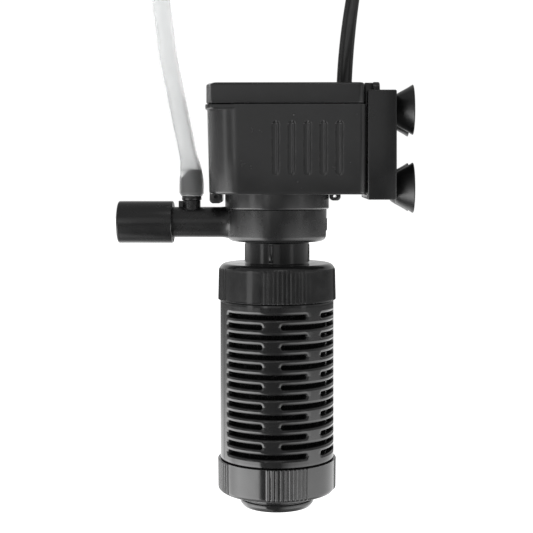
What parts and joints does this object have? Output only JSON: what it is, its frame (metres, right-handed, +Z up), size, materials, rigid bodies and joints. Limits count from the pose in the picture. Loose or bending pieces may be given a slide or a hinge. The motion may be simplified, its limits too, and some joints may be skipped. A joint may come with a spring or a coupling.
{
  "type": "internal power filter",
  "caption": "Submersible aquarium filter: motor head with side outlet and air tube, slotted sponge canister below, slide-on bracket with suction cups.",
  "frame": {"origin": "middle of the foot's underside, on the pump and canister axis", "axes": "+Z up along the pump axis, +X towards the suction cups, -X along the outlet pipe, -Y towards the front face"},
  "size_m": [0.0991, 0.0412, 0.1773],
  "materials": {
    "satin_black": "satin moulded ABS",
    "gloss_black": "glossy moulded plastic",
    "black_rubber": "matt black rubber",
    "cup_rubber": "soft smooth black PVC",
    "cord_jacket": "smooth black PVC cable jacket",
    "clear_silicone": "milky clear silicone",
    "black_resin": "cast epoxy",
    "core_steel": "stacked electrical steel",
    "bobbin_nylon": "natural nylon",
    "copper_wire": "enamelled copper wire",
    "lead_insulation": "thin wire insulation",
    "ceramic_white": "polished ceramic",
    "ferrite": "sintered ferrite",
    "impeller_plastic": "white moulded plastic",
    "filter_foam": "open-pored filter foam"
  },
  "bodies": {
    "motor": {"motor_housing": "satin_black", "motor_lid": "satin_black", "cord_grommet": "black_rubber", "power_cord": "cord_jacket", "potting_resin": "black_resin", "stator_core": "core_steel", "coil_bobbin_front": "bobbin_nylon", "coil_bobbin_rear": "bobbin_nylon", "coil_winding_front": "copper_wire", "coil_winding_rear": "copper_wire", "lead_wire_front": "lead_insulation", "lead_wire_rear": "lead_insulation", "rotor_shaft": "ceramic_white", "upper_bush": "black_rubber"},
    "rotor": {"rotor_magnet": "ferrite", "impeller": "impeller_plastic"},
    "chamber": {"pump_chamber_cover": "satin_black", "chamber_gasket": "black_rubber", "lower_bush": "black_rubber", "air_nipple": "satin_black", "air_tube": "clear_silicone"},
    "nozzle": {"outlet_nozzle": "satin_black"},
    "canister_head": {"canister_top_cap": "gloss_black", "neck_strainer": "satin_black"},
    "canister_tube": {"canister_body": "gloss_black", "sponge_cartridge": "filter_foam", "top_gasket": "black_rubber"},
    "bottom_cap": {"canister_bottom_cap": "gloss_black", "bottom_gasket": "black_rubber"},
    "plug": {"base_plug": "gloss_black", "plug_seal": "black_rubber"},
    "bracket": {"suction_bracket": "satin_black"},
    "cup_upper_front": {"suction_cup_upper_front": "cup_rubber"},
    "cup_upper_rear": {"suction_cup_upper_rear": "cup_rubber"},
    "cup_lower_front": {"suction_cup_lower_front": "cup_rubber"},
    "cup_lower_rear": {"suction_cup_lower_rear": "cup_rubber"}
  },
  "joints": [
    {"name": "rotor_spin", "type": "hinge", "parent": "motor", "child": "rotor", "pos_m": [0, 0, 0.116], "axis": [0, 0, 1], "continuous": true},
    {"name": "chamber_twist", "type": "hinge", "parent": "motor", "child": "chamber", "pos_m": [0, 0, 0.1015], "axis": [0, 0, 1], "range_deg": [-12, 12]},
    {"name": "nozzle_turn", "type": "hinge", "parent": "chamber", "child": "nozzle", "pos_m": [-0.044, 0, 0.0955], "axis": [-1, 0, 0], "continuous": true},
    {"name": "canister_pull", "type": "slide", "parent": "chamber", "child": "canister_head", "axis": [0, 0, -1], "range_m": [0, 0.018]},
    {"name": "canister_quarter_turn", "type": "hinge", "parent": "canister_head", "child": "canister_tube", "pos_m": [0, 0, 0.0725], "axis": [0, 0, 1], "range_deg": [0, 90]},
    {"name": "bottom_cap_quarter_turn", "type": "hinge", "parent": "canister_tube", "child": "bottom_cap", "pos_m": [0, 0, 0.0125], "axis": [0, 0, 1], "range_deg": [0, 90]},
    {"name": "plug_turn", "type": "hinge", "parent": "bottom_cap", "child": "plug", "pos_m": [0, 0, 0.0075], "axis": [0, 0, 1], "range_deg": [0, 90]},
    {"name": "bracket_slide", "type": "slide", "parent": "bracket", "child": "motor", "axis": [0, 0, 1], "range_m": [0, 0.036]},
    {"name": "cup_upper_front_swivel", "type": "hinge", "parent": "bracket", "child": "cup_upper_front", "pos_m": [0.0388, -0.0095, 0.1331], "axis": [1, 0, 0], "continuous": true},
    {"name": "cup_upper_rear_swivel", "type": "hinge", "parent": "bracket", "child": "cup_upper_rear", "pos_m": [0.0388, 0.0095, 0.1331], "axis": [1, 0, 0], "continuous": true},
    {"name": "cup_lower_front_swivel", "type": "hinge", "parent": "bracket", "child": "cup_lower_front", "pos_m": [0.0388, -0.0095, 0.1073], "axis": [1, 0, 0], "continuous": true},
    {"name": "cup_lower_rear_swivel", "type": "hinge", "parent": "bracket", "child": "cup_lower_rear", "pos_m": [0.0388, 0.0095, 0.1073], "axis": [1, 0, 0], "continuous": true}
  ]
}
